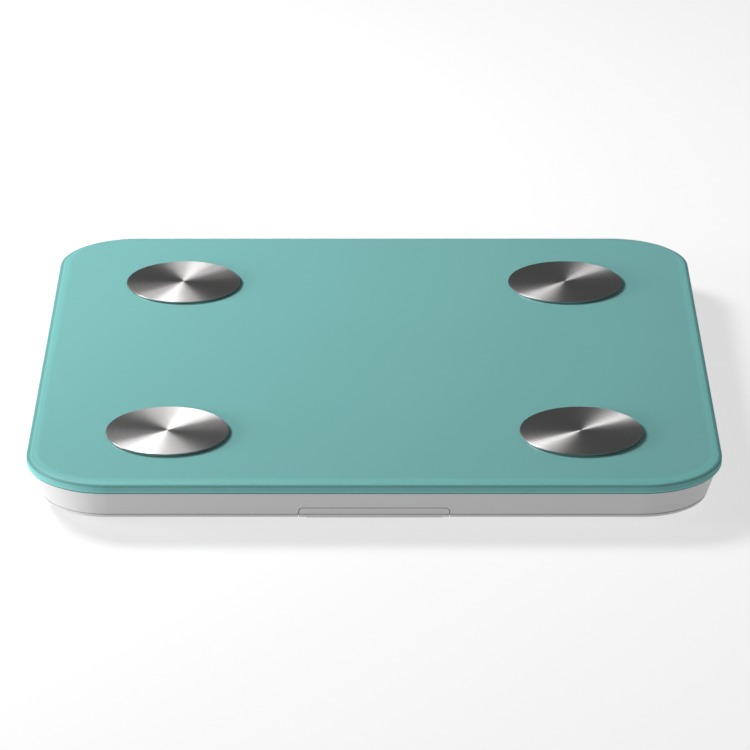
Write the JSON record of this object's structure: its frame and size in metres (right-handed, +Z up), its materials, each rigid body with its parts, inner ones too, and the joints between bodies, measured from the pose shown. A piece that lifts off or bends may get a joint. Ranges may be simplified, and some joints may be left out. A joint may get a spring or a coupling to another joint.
{
  "type": "digital bathroom scale",
  "caption": "Low square body-composition bathroom scale: glass platform with round steel electrodes over a moulded base, sprung button, sliding battery door and floating feet.",
  "frame": {"origin": "on the ground, at the centre of the platform's outline", "axes": "+Z up; -Y towards the front, where the battery door's lip is; +X to the right as seen from the front"},
  "size_m": [0.3, 0.3, 0.0239],
  "materials": {
    "glass": "clear tempered float glass, polished, pencil-ground edges",
    "teal_coat": "fired ceramic colour coat seen through the glass",
    "spun_steel": "spun with fine concentric turning marks",
    "white_shell": "satin moulded ABS",
    "door_white": "satin moulded ABS",
    "tape": "thin acrylic foam tape",
    "seal": "thin soft seal",
    "bush": "natural nylon",
    "plated_steel": "bright zinc plated",
    "cell_sleeve": "printed shrink sleeve, no text",
    "spring_metal": "nickel plated spring strip",
    "foot_white": "moulded ABS",
    "pad_rubber": "soft anti-slip pad",
    "cell_steel": "stamped alloy steel",
    "gauge_foil": "foil gauge on amber film",
    "retainer_grey": "moulded, satin",
    "board_green": "solder mask over fibreglass",
    "display_black": "moulded display housing",
    "segment_diffuser": "cast diffusing resin",
    "chip_resin": "potting resin",
    "module_can": "tinned can on a small card",
    "chip_ceramic": "sintered, tinned ends",
    "plug_nylon": "natural nylon",
    "wire_red": "vinyl insulation",
    "wire_black": "vinyl insulation",
    "wire_white": "vinyl insulation",
    "switch_black": "moulded switch body",
    "button_grey": "satin moulded",
    "label_paper": "blank laminated label"
  },
  "bodies": {
    "scale": {"base_shell": "white_shell", "battery_lead_black": "wire_black", "battery_lead_red": "wire_red", "battery_plug": "plug_nylon", "board_screws": "plated_steel", "bonding_tape": "tape", "chip_capacitors": "chip_ceramic", "clock_crystal": "module_can", "control_chip": "chip_resin", "display_housing": "display_black", "display_segments": "segment_diffuser", "dry_cell_1": "cell_sleeve", "dry_cell_2": "cell_sleeve", "dry_cell_3": "cell_sleeve", "dry_cell_4": "cell_sleeve", "electrode_disc_back_left": "spun_steel", "electrode_disc_back_right": "spun_steel", "electrode_disc_front_left": "spun_steel", "electrode_disc_front_right": "spun_steel", "electrode_leads": "wire_white", "electrode_seals": "seal", "foot_keepers": "foot_white", "glass_platform": "glass", "keeper_screws": "plated_steel", "load_cell_back_left": "cell_steel", "load_cell_back_right": "cell_steel", "load_cell_front_left": "cell_steel", "load_cell_front_right": "cell_steel", "load_cell_leads_black": "wire_black", "load_cell_leads_red": "wire_red", "load_cell_leads_white": "wire_white", "load_cell_retainers": "retainer_grey", "main_board": "board_green", "minus_springs": "spring_metal", "plus_contacts": "spring_metal", "printed_coat": "teal_coat", "radio_module": "module_can", "rating_label": "label_paper", "ring_terminals": "plated_steel", "side_plugs": "plug_nylon", "strain_gauges": "gauge_foil", "stud_bushes": "bush", "stud_nuts": "plated_steel", "switch_body": "switch_black"},
    "battery_door": {"battery_door": "door_white"},
    "unit_button": {"unit_button": "button_grey", "switch_plunger": "switch_black"},
    "foot_front_left": {"foot_cap_front_left": "foot_white", "foot_pad_front_left": "pad_rubber"},
    "foot_front_right": {"foot_cap_front_right": "foot_white", "foot_pad_front_right": "pad_rubber"},
    "foot_back_left": {"foot_cap_back_left": "foot_white", "foot_pad_back_left": "pad_rubber"},
    "foot_back_right": {"foot_cap_back_right": "foot_white", "foot_pad_back_right": "pad_rubber"}
  },
  "joints": [
    {"name": "door_slide", "type": "slide", "parent": "scale", "child": "battery_door", "axis": [0, -1, 0], "range_m": [0, 0.056]},
    {"name": "button_press", "type": "slide", "parent": "scale", "child": "unit_button", "axis": [0, 0, 1], "range_m": [0, 0.0005], "stiffness_N_per_m": 1500, "springref_m": -0.0003},
    {"name": "foot_float_front_left", "type": "slide", "parent": "scale", "child": "foot_front_left", "axis": [0, 0, 1], "range_m": [-0.0006, 0]},
    {"name": "foot_float_front_right", "type": "slide", "parent": "scale", "child": "foot_front_right", "axis": [0, 0, 1], "range_m": [-0.0006, 0]},
    {"name": "foot_float_back_left", "type": "slide", "parent": "scale", "child": "foot_back_left", "axis": [0, 0, 1], "range_m": [-0.0006, 0]},
    {"name": "foot_float_back_right", "type": "slide", "parent": "scale", "child": "foot_back_right", "axis": [0, 0, 1], "range_m": [-0.0006, 0]}
  ]
}
